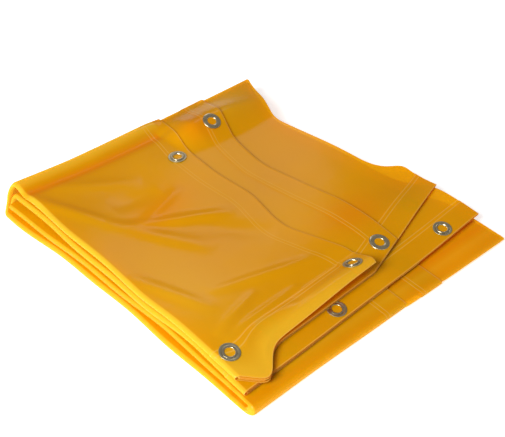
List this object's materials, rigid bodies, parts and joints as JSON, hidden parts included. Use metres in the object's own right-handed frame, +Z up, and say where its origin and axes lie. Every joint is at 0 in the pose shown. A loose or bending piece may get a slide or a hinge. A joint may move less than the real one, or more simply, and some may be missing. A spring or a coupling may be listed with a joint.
{
  "type": "welding curtain screen",
  "caption": "Translucent amber PVC welding curtain with hemmed edges and metal eyelets, folded flat into a rectangular package for storage.",
  "frame": {"origin": "middle of the folded pack's footprint, on the surface that it lies on", "axes": "+X from the stacked left folds to the right fold, +Y from the open front edges to the wrapped back, +Z up"},
  "size_m": [0.4116, 0.451, 0.0593],
  "materials": {
    "film": "translucent amber PVC film, glossy with soft creases",
    "grommet_metal": "pale nickel-plated eyelet",
    "washer_metal": "pale nickel-plated eyelet washer"
  },
  "bodies": {
    "base": {"film_front_crease": "film", "film_inner_wrap": "film", "film_outer_wrap": "film", "film_page_2": "film", "film_page_3": "film", "grommet_side_a_2": "grommet_metal", "grommet_side_a_3": "grommet_metal", "grommet_side_a_4": "grommet_metal", "grommet_side_b_2": "grommet_metal", "grommet_side_b_3": "grommet_metal", "grommet_side_b_4": "grommet_metal", "washer_side_a_2": "washer_metal", "washer_side_a_3": "washer_metal", "washer_side_a_4": "washer_metal", "washer_side_b_2": "washer_metal", "washer_side_b_3": "washer_metal", "washer_side_b_4": "washer_metal"},
    "page_top": {"film_page_1": "film", "grommet_front_1": "grommet_metal", "washer_front_1": "washer_metal", "grommet_front_2": "grommet_metal", "washer_front_2": "washer_metal", "grommet_front_3": "grommet_metal", "washer_front_3": "washer_metal", "grommet_front_4": "grommet_metal", "washer_front_4": "washer_metal", "grommet_front_5": "grommet_metal", "washer_front_5": "washer_metal", "grommet_front_6": "grommet_metal", "washer_front_6": "washer_metal", "grommet_front_7": "grommet_metal", "washer_front_7": "washer_metal", "grommet_front_8": "grommet_metal", "washer_front_8": "washer_metal", "grommet_side_a_1": "grommet_metal", "washer_side_a_1": "washer_metal", "grommet_side_b_1": "grommet_metal", "washer_side_b_1": "washer_metal"},
    "page_second": {"film_page_4": "film", "grommet_rear_1": "grommet_metal", "washer_rear_1": "washer_metal", "grommet_rear_2": "grommet_metal", "washer_rear_2": "washer_metal", "grommet_rear_3": "grommet_metal", "washer_rear_3": "washer_metal", "grommet_rear_4": "grommet_metal", "washer_rear_4": "washer_metal", "grommet_rear_5": "grommet_metal", "washer_rear_5": "washer_metal", "grommet_rear_6": "grommet_metal", "washer_rear_6": "washer_metal", "grommet_rear_7": "grommet_metal", "washer_rear_7": "washer_metal", "grommet_rear_8": "grommet_metal", "washer_rear_8": "washer_metal", "grommet_side_a_5": "grommet_metal", "washer_side_a_5": "washer_metal", "grommet_side_b_5": "grommet_metal", "washer_side_b_5": "washer_metal"}
  },
  "joints": [
    {"name": "page_top_hinge", "type": "hinge", "parent": "base", "child": "page_top", "pos_m": [0, 0.19822, 0.02919], "axis": [-1, 0, 0], "range_deg": [0, 180], "deforming": ["film_outer_wrap"]},
    {"name": "page_second_hinge", "type": "hinge", "parent": "base", "child": "page_second", "pos_m": [0, 0.19822, 0.02919], "axis": [-1, 0, 0], "range_deg": [0, 180], "deforming": ["film_inner_wrap"]}
  ],
  "couplings": [
    {"joint": "page_second_hinge", "follows": "page_top_hinge", "ratio": 1}
  ]
}
